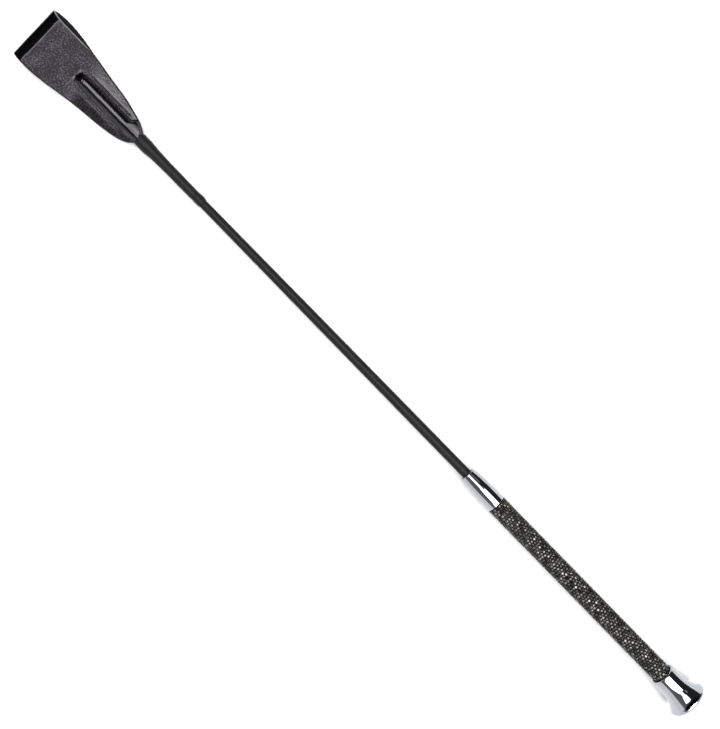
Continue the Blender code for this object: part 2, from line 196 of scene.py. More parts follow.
def grid_quads(rows, cols, wrap_rows=False, wrap_cols=False, offset=0, flip=False):
    i = np.arange(rows if wrap_rows else rows - 1)[:, None]
    j = np.arange(cols if wrap_cols else cols - 1)[None, :]
    i2, j2 = (i + 1) % rows, (j + 1) % cols
    q = np.stack([i * cols + j, i2 * cols + j, i2 * cols + j2, i * cols + j2], -1).reshape(-1, 4) + offset
    return q[:, ::-1] if flip else q


def turned(name, profile, steps, materials, index=None, radius=None, sharp=40.0):
    """A closed ring section turned about the crop's axis. profile is (s, r) rows; radius(s, r, angle) may shape it."""
    p = np.array(profile, float)
    a = np.linspace(0, 2 * math.pi, steps, endpoint=False)
    s, ang = np.meshgrid(p[:, 0], a, indexing="ij")
    r = np.repeat(p[:, 1:2], steps, 1)
    if radius is not None:
        r = radius(s, r, ang)
    co = place(s, r * np.sin(ang), r * np.cos(ang))
    uv = np.stack([s / 100, ang / (2 * math.pi) * np.maximum(r.max(), 1) * 2 * math.pi / 100], -1)
    q = grid_quads(len(p), steps, wrap_rows=True, wrap_cols=True, flip=True)
    return make(name, co.reshape(-1, 3), q, materials, uv=uv.reshape(-1, 2), index=index, sharp=sharp)


def turned_solid(name, profile, steps, materials, sharp=40.0):
    """A solid turned about the axis, whose profile starts and ends on the axis (radius 0)."""
    p = np.array(profile, float)
    mid = p[1:-1]
    a = np.linspace(0, 2 * math.pi, steps, endpoint=False)
    s, ang = np.meshgrid(mid[:, 0], a, indexing="ij")
    r = np.repeat(mid[:, 1:2], steps, 1)
    co = place(s, r * np.sin(ang), r * np.cos(ang)).reshape(-1, 3)
    ends = place(p[[0, -1], 0], [0, 0], [0, 0])
    n = len(co)
    co = np.concatenate([co, ends])
    q = grid_quads(len(mid), steps, wrap_cols=True, flip=True)
    j = np.arange(steps)
    j2 = (j + 1) % steps
    first = np.stack([np.full(steps, n), j, j2], -1)[:, ::-1]
    base = (len(mid) - 1) * steps
    last = np.stack([np.full(steps, n + 1), base + j2, base + j], -1)[:, ::-1]
    uv = np.stack([s / 100, ang / (2 * math.pi)], -1).reshape(-1, 2)
    uv = np.concatenate([uv, [[0, 0], [1, 0]]])
    return make(name, co, q, materials, uv=uv, sharp=sharp, tris=np.concatenate([first, last]))


# ---------------------------------------------------------------- materials
class Nodes:
    """Short names for the nodes of one material."""

    def __init__(self, name):
        self.m = bpy.data.materials.new(name)
        self.m.use_nodes = True
        self.t = self.m.node_tree
        self.b = self.t.nodes["Principled BSDF"]

    def node(self, kind, **kw):
        n = self.t.nodes.new(kind)
        for k, v in kw.items():
            if k.startswith("in_"):
                n.inputs[k[3:].replace("_", " ")].default_value = v
            else:
                setattr(n, k, v)
        return n

    def link(self, a, b):
        self.t.links.new(a, b)

    def coords(self, kind="Object", scale=(1, 1, 1), rotation=(0, 0, 0)):
        c = self.node("ShaderNodeTexCoord")
        m = self.node("ShaderNodeMapping")
        m.inputs["Scale"].default_value = scale
        m.inputs["Rotation"].default_value = rotation
        self.link(c.outputs[kind], m.inputs["Vector"])
        return m.outputs["Vector"]

    def noise(self, vector, scale, detail=3.0, rough=0.5, out="Fac"):
        n = self.node("ShaderNodeTexNoise")
        n.inputs["Scale"].default_value = scale
        n.inputs["Detail"].default_value = detail
        n.inputs["Roughness"].default_value = rough
        self.link(vector, n.inputs["Vector"])
        return n.outputs[out]

    def voronoi(self, vector, scale, feature="F1", random=1.0, out="Distance"):
        n = self.node("ShaderNodeTexVoronoi", feature=feature)
        n.inputs["Scale"].default_value = scale
        n.inputs["Randomness"].default_value = random
        self.link(vector, n.inputs["Vector"])
        return n.outputs[out]

    def wave(self, vector, scale, distortion=0.0, direction="X"):
        n = self.node("ShaderNodeTexWave", bands_direction=direction)
        n.inputs["Scale"].default_value = scale
        n.inputs["Distortion"].default_value = distortion
        self.link(vector, n.inputs["Vector"])
        return n.outputs["Fac"]

    def ramp(self, fac, stops):
        n = self.node("ShaderNodeValToRGB")
        e = n.color_ramp.elements
        while len(e) < len(stops):
            e.new(0.5)
        for k, (x, c) in enumerate(stops):
            e[k].position = x
            e[k].color = (*c, 1) if len(c) == 3 else c
        self.link(fac, n.inputs["Fac"])
        return n.outputs["Color"]

    def math(self, op, a, b=None, clamp=False):
        n = self.node("ShaderNodeMath", operation=op, use_clamp=clamp)
        for k, v in enumerate((a, b)):
            if v is None:
                continue
            if isinstance(v, (int, float)):
                n.inputs[k].default_value = v
            else:
                self.link(v, n.inputs[k])
        return n.outputs[0]

    def range(self, fac, lo, hi, to_lo=0.0, to_hi=1.0):
        n = self.node("ShaderNodeMapRange")
        n.inputs["From Min"].default_value = lo
        n.inputs["From Max"].default_value = hi
        n.inputs["To Min"].default_value = to_lo
        n.inputs["To Max"].default_value = to_hi
        self.link(fac, n.inputs["Value"])
        return n.outputs["Result"]

    def mix(self, fac, a, b):
        n = self.node("ShaderNodeMix", data_type="RGBA")
        for socket, v in ((n.inputs[0], fac), (n.inputs[6], a), (n.inputs[7], b)):
            if isinstance(v, (int, float)):
                socket.default_value = v
            elif isinstance(v, tuple):
                socket.default_value = (*v, 1) if len(v) == 3 else v
            else:
                self.link(v, socket)
        return n.outputs[2]

    def bump(self, height, strength, distance, normal=None):
        n = self.node("ShaderNodeBump")
        n.inputs["Strength"].default_value = strength
        n.inputs["Distance"].default_value = distance
        self.link(height, n.inputs["Height"])
        if normal is not None:
            self.link(normal, n.inputs["Normal"])
        return n.outputs["Normal"]

    def put(self, **kw):
        for k, v in kw.items():
            socket = self.b.inputs[k.replace("_", " ")]
            if isinstance(v, (int, float)):
                socket.default_value = v
            elif isinstance(v, tuple):
                socket.default_value = (*v, 1) if len(v) == 3 else v
            else:
                self.link(v, socket)
        return self.m


def leather_grain_side():
    n = Nodes("black_leather")
    v = n.coords("UV", (100, 100, 100))          # millimetres along and across the strap
    polish_and_groove_shade = n.node("ShaderNodeAttribute", attribute_name="polish_and_groove_shade").outputs["Fac"]
    patch = n.noise(v, 0.09, 4, 0.55)
    fine = n.noise(v, 1.5, 4, 0.6)
    pore = n.voronoi(v, 1.0)
    cell = n.voronoi(v, 1.25, "DISTANCE_TO_EDGE")
    tips = n.noise(v, 0.85, 2, 0.6)
    tone = n.math("ADD", n.math("MULTIPLY", patch, 0.30), n.math("MULTIPLY", tips, 0.70))
    rubbed = n.ramp(tone, [(0.40, (0.0002, 0.0002, 0.0004)), (0.50, (0.0048, 0.0042, 0.0057)), (0.60, (0.046, 0.0405, 0.0525))])
    # darker base where the leather is polished and stretched; along the seam channel this darkening is painted shade
    colour = n.mix(n.math("MULTIPLY", polish_and_groove_shade, polish_and_groove_shade), rubbed, (0.0009, 0.0008, 0.0010))
    mottle = n.noise(v, 0.9, 3, 0.6)
    dull = n.range(n.math("ADD", n.math("MULTIPLY", patch, 0.5), mottle), 0.5, 1.0, 0.68, 1.0)
    shine = n.range(fine, 0.3, 0.7, 0.07, 0.12)
    rough = n.math("ADD", n.math("MULTIPLY", dull, n.math("SUBTRACT", 1.0, polish_and_groove_shade)), n.math("MULTIPLY", shine, polish_and_groove_shade))
    crease = n.range(cell, 0.0, 0.3)
    height = n.math("ADD", n.math("MULTIPLY", crease, 0.5), n.math("MULTIPLY", n.math("ADD", pore, fine), 0.5))
    height = n.math("MULTIPLY", height, n.math("SUBTRACT", 1.0, n.math("MULTIPLY", polish_and_groove_shade, 0.86)))
    near = n.bump(height, 0.8, 0.00025)
    swell = n.math("MULTIPLY", mottle, n.math("SUBTRACT", 1.0, n.math("MULTIPLY", polish_and_groove_shade, 0.9)))
    far = n.bump(swell, 0.55, 0.0006, near)
    return n.put(Base_Color=colour, Roughness=rough, Normal=far, Specular_IOR_Level=0.37,
                 Specular_Tint=(0.97, 0.94, 1.0))


def leather_flesh_side():
    n = Nodes("leather_flesh_side")
    v = n.coords("UV", (100, 100, 100))
    nap = n.noise(v, 5.0, 5, 0.7)
    patch = n.noise(v, 0.25, 3, 0.5)
    colour = n.mix(patch, (0.0015, 0.0014, 0.0015), (0.006, 0.0058, 0.006))
    return n.put(Base_Color=colour, Roughness=n.range(nap, 0.3, 0.7, 0.8, 0.95), Normal=n.bump(nap, 0.5, 0.0002),
                 Specular_IOR_Level=0.12, Sheen_Weight=0.02)


def leather_edge():
    n = Nodes("leather_cut_edge")
    v = n.coords("UV", (100, 100, 100))
    edge_highlight = n.node("ShaderNodeAttribute", attribute_name="edge_highlight").outputs["Fac"]
    fibre = n.noise(v, 3.0, 4, 0.65)
    dyed = n.mix(fibre, (0.0012, 0.0012, 0.0013), (0.004, 0.0039, 0.0042))
    # painted highlight: the lighter colour for the cut edge where it catches the light
    edge_highlight_colour = n.mix(fibre, (0.06, 0.058, 0.064), (0.15, 0.145, 0.155))
    return n.put(Base_Color=n.mix(edge_highlight, dyed, edge_highlight_colour), Roughness=n.range(fibre, 0.3, 0.7, 0.34, 0.5),
                 Normal=n.bump(fibre, 0.3, 0.0001), Specular_IOR_Level=0.16)


def fibre_material(name, dark, light, rough, pitch, sheen=0.02, gloss=0.12):
    n = Nodes(name)
    v = n.coords("UV", (100, 100, 100))
    strand = n.noise(v, pitch, 4, 0.65)
    patch = n.noise(v, 0.12, 3, 0.5)
    f = n.math("ADD", n.math("MULTIPLY", strand, 0.6), n.math("MULTIPLY", patch, 0.4))
    colour = n.ramp(f, [(0.3, dark), (0.72, light)])
    return n.put(Base_Color=colour, Roughness=n.range(strand, 0.3, 0.7, rough - 0.08, rough + 0.1),
                 Normal=n.bump(strand, 0.35, 0.00008), Sheen_Weight=sheen, Specular_IOR_Level=gloss)


def polished(name, colour, rough=0.035):
    n = Nodes(name)
    v = n.coords("Object", (1000, 1000, 1000))
    smear = n.noise(v, 0.08, 3, 0.5)
    hair = n.noise(n.coords("Object", (60, 2600, 2600)), 1.0, 2, 0.5)
    wear = n.range(smear, 0.35, 0.75, 0.0, 1.0)
    tint = n.mix(wear, tuple(c * 0.985 for c in colour), colour)
    r = n.math("ADD", n.math("MULTIPLY", wear, rough * 0.8), rough * 0.6)
    return n.put(Base_Color=tint, Metallic=1.0, Roughness=r, Normal=n.bump(hair, 0.015, 0.00002))


def stone_material():
    n = Nodes("dark_faceted_stones")
    tone = n.node("ShaderNodeAttribute", attribute_name="tone")
    v = n.coords("Object", (1000, 1000, 1000))
    cloud = n.noise(v, 0.9, 2, 0.5)
    base = n.mix(tone.outputs["Fac"], (0.0015, 0.0013, 0.0013), (0.17, 0.161, 0.157))
    base = n.mix(n.math("MULTIPLY", cloud, 0.35), base, (0.004, 0.003, 0.003))
    return n.put(Base_Color=base, Metallic=0.85, Roughness=n.range(cloud, 0.3, 0.7, 0.07, 0.16), Coat_Weight=0.25,
                 Coat_Roughness=0.04)


def moulded(name, dark, light, rough, scale=2.5, metallic=0.0, stretch=(1, 1, 1)):
    n = Nodes(name)
    v = n.coords("Object", tuple(1000 * k for k in stretch))
    fine = n.noise(v, scale, 4, 0.6)
    patch = n.noise(v, scale * 0.08, 3, 0.5)
    colour = n.mix(n.math("ADD", n.math("MULTIPLY", fine, 0.5), n.math("MULTIPLY", patch, 0.5)), dark, light)
    return n.put(Base_Color=colour, Roughness=n.range(fine, 0.3, 0.7, rough - 0.06, rough + 0.08), Metallic=metallic,
                 Normal=n.bump(fine, 0.2, 0.00008))


LEATHER_MAT = leather_grain_side()
FLESH_MAT = leather_flesh_side()
EDGE_MAT = leather_edge()
THREAD_MAT = fibre_material("black_thread", (0.0025, 0.0025, 0.0027), (0.0075, 0.0073, 0.0078), 0.46, 4.0)
SEAM_MAT = fibre_material("black_seam_thread", (0.003, 0.003, 0.0032), (0.010, 0.0097, 0.0104), 0.42, 4.0, gloss=0.22)
BRAID_MAT = fibre_material("black_braid", (0.0018, 0.0018, 0.002), (0.006, 0.0058, 0.0062), 0.48, 5.0, gloss=0.135)
BACK_MAT = fibre_material("black_fabric_backing", (0.003, 0.0026, 0.0025), (0.010, 0.009, 0.0085), 0.7, 3.0)
CHROME_MAT = polished("polished_chrome", (0.405, 0.413, 0.448))
STONE_MAT = stone_material()


# ---------------------------------------------------------------- the strap (flap)
def leather_at(s):
    return LEATHER + (SKIVED - LEATHER) * smooth(s, 90.0, 103.8)


def seam_distance(s, y):
    """Distance from a point of the leaf to the line of the U-shaped seam."""
    centre = SEAM_TURN_S + SEAM_TURN
    reach = np.where(y > 0, SEAM_LEFT, SEAM_RIGHT)
    side = np.abs(np.abs(y) - reach)
    rho = np.sqrt(((centre - s) / SEAM_TURN) ** 2 + (y / reach) ** 2)
    turn = np.abs(rho - 1.0) * 6.4
    d = np.where(s >= centre, side, turn)
    return d + 1.2 * np.maximum(s - SEAM_END_S, 0.0)


def ridge(s, y, level, top, radius, k, nose=3.9, blunt=0.80):
    """Height over the leaf's own level of the arch over the rod: a capsule with a rounded end."""
    d2 = (blunt * np.maximum(TIP_S + nose - s, 0.0)) ** 2 + y**2
    knee = (0.86 * radius) ** 2
    arch = np.sqrt(np.maximum(radius**2 - np.minimum(d2, knee), 0)) - radius + top
    fall = 0.86 / math.sqrt(1 - 0.86**2)
    arch = arch - np.maximum(np.sqrt(d2) - 0.86 * radius, 0) * fall
    return smax(arch, level, k) - level


def droop(s, y):
    """How far both leaves bend down together, away from the rod, towards their edges."""
    live = smooth(s, 42.0, 54.0) * (1 - smooth(s, 95.0, 104.0))
    neck = smooth(s, 90.0, 98.0) * (1 - smooth(s, 103.5, 106.0))
    soft = lambda d: 0.9 * np.logaddexp(0, d / 0.9)
    return -live * (0.14 * soft(y - 8.5) + 0.16 * soft(-y - 3.6) + 0.27 * soft(-y - 9.3)) - neck * 0.30 * soft(-y - 3.6)


def leaf_relief(s, y, outer, side):
    """How far the strap's surface stands off its plane behind the flex line."""
    t = leather_at(s)
    root = smooth(s, 41.5, 44.5)
    if outer:
        k = 1.0 - 0.3 * smooth(s, 92, 103)
        thick = 5.9 - 2.3 * smooth(s, 96.0, 104.5)
        h = ridge(s, y + 0.15, t + HALF_GAP, POCKET_R + t, thick, k, 8.6, 0.47)
        fade = smooth(s, 47.5, 51.0) * (1 - smooth(s, 99.0, 104.0))
        rope = np.cos(2 * math.pi * (s / 1.85 + y * 0.30)) * np.exp(-((y / 2.4) ** 2))
        h = h + 0.05 * rope * fade * (1.0 if side > 0 else 0.7)
        if side > 0:
            # the leather bunches up beside the rod where the whipping draws it in
            near = pchip(ROOT_LEAF, s, 2) - y
            knuckle = smooth(s - (86.8 + 1.0 * np.maximum(y, 0)), 0.0, 5.2) * smooth(near, 0.1, 1.9) * smooth(y, -0.6, 0.6)
            knuckle = knuckle * (1 - smooth(s + 0.96 * y, 106.0, 110.5)) * (1 - smooth(s, 104.0, 106.5))
            h = smax(h, knuckle * (POCKET_R - HALF_GAP - 0.021 * y**2), 0.35)
    else:
        h = ridge(s, y, HALF_GAP + 0 * s, POCKET_R + 0 * s, POCKET_R + 0 * s, 0.6)
    live = smooth(s, 44.0, 48.0) * (1 - smooth(s, 92.0, 99.0))
    valley = -0.04 * np.exp(-(((np.abs(y) - 5.0) / 0.7) ** 2)) * live
    depth = 0.05 + 0.27 * smooth(y, -3.5, 2.0)
    channel = -depth * np.exp(-((seam_distance(s, y) / 0.55) ** 2)) * smooth(s, 42.2, 43.4)
    puff = 0.05 * np.exp(-(((seam_distance(s, y) - 2.2) / 1.3) ** 2)) * smooth(s, 42.5, 47.0) * (1 - smooth(s, 90, 98))
    puff = puff * smooth(y, 6.5, 7.0)
    press = (valley + channel + puff) * (1.0 if outer else 0.25)
    return (h + press) * root


def strap_path():
    rows = [(s, float(leather_at(s)) + HALF_GAP) for s in (TAIL_END_S, 109.0, 105.0, 102.5, 100.0, 97.0, 94.0, 90.0)]
    rows += [(s, LEATHER + HALF_GAP) for s in (84.0, 76.0, 68.0, 60.0, 53.0, 47.0, 43.0)]
    rows += LOOP_TOP[:0:-1] + [(0.0, 0.0)] + LOOP_BOTTOM[1:]
    rows += [(s, -z) for s, z in rows[:15][::-1]]
    return spline(rows, 0.42)


def build_strap():
    path, run = strap_path()
    s, z = path[:, 0], np.clip(path[:, 1], -HINGE_Z, HINGE_Z)
    d = np.gradient(path, axis=0)
    d /= np.linalg.norm(d, axis=1)[:, None]
    normal = np.stack([d[:, 1], -d[:, 0]], 1)
    half = np.argmin(s)
    side = np.where(np.arange(len(s)) <= half, 1.0, -1.0)
    upper = np.clip(0.5 + z / np.where(z > 0, 6.8, 7.2), 0, 1)
    upper = np.where(s > 3.0, (side > 0).astype(float), upper)
    lo = np.where(s < 41.0, upper * pchip(UPPER_LEAF, s, 1) + (1 - upper) * pchip(LOWER_LEAF, s, 1), pchip(ROOT_LEAF, s, 1))
    hi = np.where(s < 41.0, upper * pchip(UPPER_LEAF, s, 2) + (1 - upper) * pchip(LOWER_LEAF, s, 2), pchip(ROOT_LEAF, s, 2))
    kernel = np.exp(-0.5 * (np.arange(-9, 10) / 3.0) ** 2)
    kernel /= kernel.sum()
    lo, hi = [np.convolve(np.pad(w, 9, mode="edge"), kernel, "valid") for w in (lo, hi)]
    edge = 0.80
    inset = np.array([0.0, 0.04, 0.15, 0.38, 0.80])
    cols = 128
    y_rows = []
    for a, b in zip(lo, hi):
        e = inset * min(1.0, (a + b) / 16)
        y_rows.append(np.concatenate([-a + e, np.linspace(-a + e[-1], b - e[-1], cols)[1:-1], b - e[::-1]]))
    y = np.array(y_rows)
    n_cols = y.shape[1]
    gone = np.minimum(y + lo[:, None], hi[:, None] - y)
    t = leather_at(s)[:, None]
    t = np.where(s[:, None] < 45, LEATHER, t)
    e = np.minimum(edge, 0.44 * t)
    round_off = e - np.sqrt(np.maximum(e**2 - np.maximum(e - gone, 0) ** 2, 0))
    S, SIDE = np.broadcast_to(s[:, None], y.shape), side[:, None]
    wander = 0.10 * ripple(S, y, 16.0, 5, 2) + 0.035 * ripple(S + 40 * SIDE, y, 4.0, 8, 2)
    wander *= smooth(S, 9.0, 17.0) * (1 - smooth(S, 88.0, 98.0))
    wander *= 1 - 0.8 * np.exp(-((y / 4.0) ** 4)) * smooth(S, 43.0, 47.0)
    floor_side = (SIDE < 0) & (S < 30)
    # the open edges of the upper leaf flare a little, as soft leather does
    lip = 0.25 * np.exp(-gone / 1.8) * (S > 4) * (S < 36)
    shear = (0.75 + 1.75 * (19.8 - y) / 40.0) * (1 - smooth(S, 2.0, 38.0))
    grain = []
    for outer in (True, False):
        relief = np.where(SIDE > 0, leaf_relief(S, y, outer, 1), leaf_relief(S, y, outer, -1))
        off = (t - round_off if outer else round_off) - t
        w = np.where(floor_side, np.minimum(wander, 0) * 0.5 if outer else wander * 0.5, wander)
        w = w - np.where(floor_side & outer, 0, lip * (SIDE > 0) * 0.5)
        off = off + relief + w
        ss = S + normal[:, :1] * off
        zz = z[:, None] + normal[:, 1:] * off + droop(S, y)
        zz = np.maximum(zz, -HINGE_Z + 0.01)
        ss = ss + shear
        flat = 1 - smooth(ss, 34.0, 46.0)
        grain.append(place(ss, y, zz, flat))
    rows = len(s)
    co = np.concatenate([g.reshape(-1, 3) for g in grain])
    n = rows * n_cols
    uv = np.stack([np.broadcast_to(run[:, None], y.shape), y], -1).reshape(-1, 2) / 100
    uv = np.concatenate([uv, uv + [0.0, 0.6]])
    q = [grid_quads(rows, n_cols, flip=False), grid_quads(rows, n_cols, offset=n, flip=True)]
    face_col = np.tile(np.arange(n_cols - 1), rows - 1)
    rim = (face_col < 4) | (face_col >= n_cols - 5)
    index = [np.where(rim, 2, 0), np.where(rim, 2, 1)]
    i = np.arange(rows - 1)
    for j, turn in ((0, False), (n_cols - 1, True)):
        a, b = i * n_cols + j, (i + 1) * n_cols + j
        strip = np.stack([a, a + n, b + n, b], -1)
        q.append(strip[:, ::-1] if turn else strip)
        index.append(np.full(rows - 1, 2))
    k = np.arange(n_cols - 1)
    for i0, turn in ((0, False), (rows - 1, True)):
        a, b = i0 * n_cols + k, i0 * n_cols + k + 1
        strip = np.stack([a, b, b + n, a + n], -1)
        q.append(strip[:, ::-1] if turn else strip)
        index.append(np.full(n_cols - 1, 2))
    o = make("flap_leather", co, np.concatenate(q), [LEATHER_MAT, FLESH_MAT, EDGE_MAT], uv=uv,
             index=np.concatenate(index))
    # stretched and rubbed leather, glossier and darker: over the rod and round the fold; the seam channel is darkened
    # the same way as painted shade
    over_rod = np.exp(-((y / 4.9) ** 4)) * smooth(S + 0.06 * y**2, 42.3, 44.2)
    soft_edge = S + 0.25 * ripple(y, 0 * y, 9.0, 21, 2)
    fold = 1 - smooth(soft_edge, 8.9, 10.2)
    pulled = 0.80 * smooth(S, 42.0, 58.0)
    web = (y > 0) * smooth(S - (86.8 + 1.0 * np.maximum(y, 0)), 0.0, 2.0) * smooth(hi[:, None] - y, 0.4, 2.0)
    # painted shade: a dark, glossy line laid along the seam channel, where it lies in shade
    groove_shade = 0.92 * np.exp(-((seam_distance(S, y) / 0.75) ** 2)) * smooth(y, -5.0, -2.0) * smooth(S, 42.0, 43.5) * (1 - smooth(S, 91.0, 93.0))
    polish_and_groove_shade = np.clip(np.maximum.reduce([over_rod, fold, pulled, 0.93 * web, groove_shade]), 0, 1)
    # painted highlight: the loop's upper leaf gets a lighter +Y cut edge where that edge catches the light
    edge_highlight = ((SIDE > 0) & (y > 0) & (S > 0.5)) * (1 - smooth(S, 31.0, 42.0))
    for label, value in (("polish_and_groove_shade", polish_and_groove_shade), ("edge_highlight", edge_highlight)):
        att = o.data.attributes.new(label, "FLOAT", "POINT")
        att.data.foreach_set("value", np.concatenate([value.ravel()] * 2).astype(np.float32))
    return o


strap = build_strap()
tuple(place(43.0, 0, 0))
tuple(place(35.0, 0, 0))
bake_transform(strap)
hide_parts("flap_loop", "flap_upper_leaf", "flap_lower_leaf")


# ---------------------------------------------------------------- the U-shaped seam
def build_seam(name, side):
    """Separate lock stitches of three-ply thread, each arched over the leather and diving into it at both ends."""
    pts = [(s, -SEAM_RIGHT) for s in np.linspace(SEAM_END_S, SEAM_TURN_S + SEAM_TURN, 60)[:-1]]
    pts += [(SEAM_TURN_S + SEAM_TURN * (1 - math.sin(a)), -math.cos(a) * (SEAM_RIGHT if a < math.pi / 2 else SEAM_LEFT))
            for a in np.linspace(0, math.pi, 60)]
    pts += [(s, SEAM_LEFT) for s in np.linspace(SEAM_TURN_S + SEAM_TURN, SEAM_END_S, 60)[1:]]
    p = np.array(pts)
    run = np.concatenate([[0.0], np.cumsum(np.linalg.norm(np.diff(p, axis=0), axis=1))])
    pitch, gap = 2.75, 0.45
    count = int(run[-1] // pitch)
    start = (run[-1] - count * pitch) / 2
    rings, around = 13, 12
    verts, quads, tris, uv = [], [], [], []
    for c in range(count):
        d = start + c * pitch + gap / 2 + np.linspace(0, pitch - gap, rings)
        x, y = np.interp(d, run, p[:, 0]), np.interp(d, run, p[:, 1])
        f = np.linspace(0, 1, rings)
        lift = 0.36 * np.sin(math.pi * f) ** 0.7 - 0.34
        rad = 0.36 * (0.35 + 0.65 * np.sin(math.pi * np.clip(f, 0.03, 0.97)) ** 0.5)
        z = leather_at(x) + HALF_GAP + leaf_relief(x, y, True, side) + 0.32 + lift
        tx, ty = np.gradient(x), np.gradient(y)
        norm = np.hypot(tx, ty)
        tx, ty = tx / norm, ty / norm
        slant = 0.10 * (f - 0.5)
        a = np.linspace(0, 2 * math.pi, around, endpoint=False)
        A, R = np.meshgrid(a, rad)
        ply = 1 + 0.13 * np.cos(3 * A + 7.0 * f[:, None] * 2 * math.pi / 2.2)
        off = R * ply * np.cos(A)
        X = x[:, None] - ty[:, None] * (off + slant[:, None])
        Y = y[:, None] + tx[:, None] * (off + slant[:, None])
        Z = (z[:, None] + R * ply * np.sin(A)) * side + droop(x, y)[:, None]
        base = len(verts)
        co = place(X, Y, Z).reshape(-1, 3)
        verts.extend(co)
        uv.extend(np.stack([np.broadcast_to(d[:, None], X.shape), off], -1).reshape(-1, 2) / 100)
        quads.append(grid_quads(rings, around, wrap_cols=True, offset=base, flip=side > 0))
        for end, ring in ((0, 0), (1, rings - 1)):
            centre = place(x[ring], y[ring], z[ring] * side + droop(x, y)[ring])
            verts.append(centre)
            uv.append([d[ring] / 100, 0.0])
            j = np.arange(around)
            t = np.stack([np.full(around, len(verts) - 1), base + ring * around + j,
                          base + ring * around + (j + 1) % around], -1)
            outward = (end == 0) == (side > 0)
            tris.append(t if not outward else t[:, ::-1])
    o = make(name, np.array(verts), np.concatenate(quads), [SEAM_MAT], uv=np.array(uv), tris=np.concatenate(tris))
    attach(o, "crop")
    return o


for name, side, node in (("seam_stitches_top", 1, "seam_top_thread"), ("seam_stitches_under", -1, "seam_bobbin_thread")):
    stitches = build_seam(name, side)
    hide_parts(node)


# ---------------------------------------------------------------- braid, binding and its end ring
def weave(s, ang, strands, pitch):
    """Height, 0 to 1, of a plain braid of round strands going both ways round the rod."""
    u1 = ang * strands / (2 * math.pi) + s / pitch
    u2 = ang * strands / (2 * math.pi) - s / pitch + strands
    even = np.where((np.floor(u1) + np.floor(u2)) % 2 == 0, 1.0, -1.0)
    f1, f2 = u1 % 1.0, u2 % 1.0
    h1 = 0.55 * np.sqrt(np.maximum(1 - (2 * f1 - 1) ** 2, 0)) + 0.45 * np.sin(math.pi * f2) * even
    h2 = 0.55 * np.sqrt(np.maximum(1 - (2 * f2 - 1) ** 2, 0)) - 0.45 * np.sin(math.pi * f1) * even
    return np.maximum(h1, h2)


def tube_profile(stations, outer, inner):
    s = np.asarray(stations, float)
    return np.concatenate([np.stack([s, outer(s)], 1), np.stack([s[[-1, 0]], inner(s[[-1, 0]])], 1)])


stations = np.concatenate([np.linspace(50.4, 165.0, 60), np.arange(165.2, 441.0, 0.22), [441.0]])
prof = tube_profile(stations, lambda s: pchip(COVER_RADII, s), lambda s: pchip(COVER_RADII, s) - 0.6)
n_outer = len(stations)


def braid_radius(s, r, ang):
    h = weave(s, ang, 16, 1.35)
    live = smooth(s, 164.0, 168.0)
    relief = 0.20 + (h - 0.9) * 0.15 * live
    relief[n_outer:] = 0
    return r + relief


cover = turned("shaft_braid", prof, 96, [BRAID_MAT], radius=braid_radius, sharp=None)
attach(cover, "crop")
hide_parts("shaft_cover")

BINDING = [(105.2, 4.25), (105.6, 4.47), (106.4, 4.53), (113.2, 4.53), (115.6, 4.36), (117.6, 4.12), (119.7, 3.94),
           (122.5, 3.82), (128.0, 3.63), (136.0, 3.46), (149.0, 3.43), (156.0, 3.34), (160.9, 3.32)]
bs = np.arange(105.2, 160.91, 0.075)
bprof = tube_profile(bs, lambda s: pchip(BINDING, s), lambda s: np.where(s < 110, 4.16, 2.9))
bprof = np.insert(bprof, len(bs) + 1, [[116.3, 2.9], [113.3, 4.16]], axis=0)


def winding(pitch, depth, lean=1.0, wobble=0.0):
    def shape(s, r, ang):
        w = wobble * np.sin(ang * 2 + s * 0.37) + 0.05 * np.sin(ang * 3 + s * 1.1)
        f = (s / pitch + lean * ang / (2 * math.pi) + w) % 1.0
        bead = np.sqrt(np.maximum(1 - (2 * f - 1) ** 2 * 0.97, 0))
        return bead * depth - depth
    return shape


wind = winding(0.55, 0.13)


def binding_radius(s, r, ang):
    out = r.copy()
    k = len(bs)
    lean = np.maximum(-np.sin(ang), 0) * (0.22 + 0.25 * (1 - smooth(s, 112.0, 122.0)))
    out[:k] = (r + 0.12 + lean + wind(s, r, ang) * smooth(s, 105.2, 105.7))[:k]
    return out


binding = turned("neck_whipping", bprof, 72, [THREAD_MAT], radius=binding_radius, sharp=None)
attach(binding, "crop")
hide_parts("neck_binding")

RING = [(161.2, 3.25), (161.8, 3.40), (163.0, 3.50), (164.5, 3.56), (166.0, 3.55), (167.3, 3.44), (168.2, 3.22), (168.7, 3.0)]
rs = np.arange(161.2, 168.71, 0.06)
rprof = tube_profile(rs, lambda s: pchip(RING, s), lambda s: 0 * s + 2.8)
ring_wind = winding(0.62, 0.17, lean=-1.0, wobble=0.08)


def ring_radius(s, r, ang):
    out = r.copy()
    k = len(rs)
    knot = 0.16 * np.exp(-(((ang - 1.75) / 0.75) ** 2)) * np.exp(-(((s - 165.0) / 2.0) ** 2))
    out[:k] = (r + 0.12 + ring_wind(s, r, ang) + knot)[:k]
    return out


end_ring = turned("whipping_end_ring", rprof, 72, [THREAD_MAT], radius=ring_radius, sharp=None)
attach(end_ring, "crop")
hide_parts("binding_end_ring")


# ---------------------------------------------------------------- ferrule and end cap
def arc(cs, cr, radius, a0, a1, n):
    """Points of a fillet in the (s, r) plane; angles in degrees from +r towards +s."""
    a = np.radians(np.linspace(a0, a1, n))
    return [(cs + radius * math.sin(k), cr + radius * math.cos(k)) for k in a]


